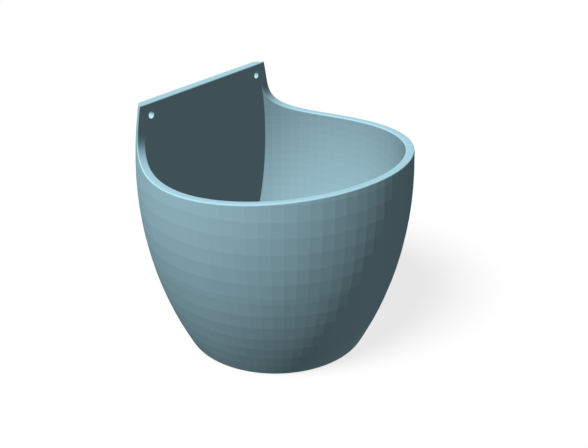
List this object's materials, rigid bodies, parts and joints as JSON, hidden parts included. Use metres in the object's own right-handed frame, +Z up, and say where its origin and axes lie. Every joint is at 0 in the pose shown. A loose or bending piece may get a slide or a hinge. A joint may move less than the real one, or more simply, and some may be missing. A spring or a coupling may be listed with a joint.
{
  "type": "wall vase",
  "caption": "Wall-hung vase: a round tapering bowl, open at the top, whose rim sweeps up at the back into a flat plate with screw holes.",
  "frame": {"origin": "midway between the two screw holes, on the wall face of the back plate", "axes": "+Z up, +Y into the wall, so the bowl stands out towards -Y, and +X to the right as seen from the room"},
  "size_m": [0.16, 0.1338, 0.1495],
  "materials": {
    "vase_body": "matte, light blue, through-coloured"
  },
  "bodies": {
    "root": {"vase_body": "vase_body"}
  },
  "joints": []
}
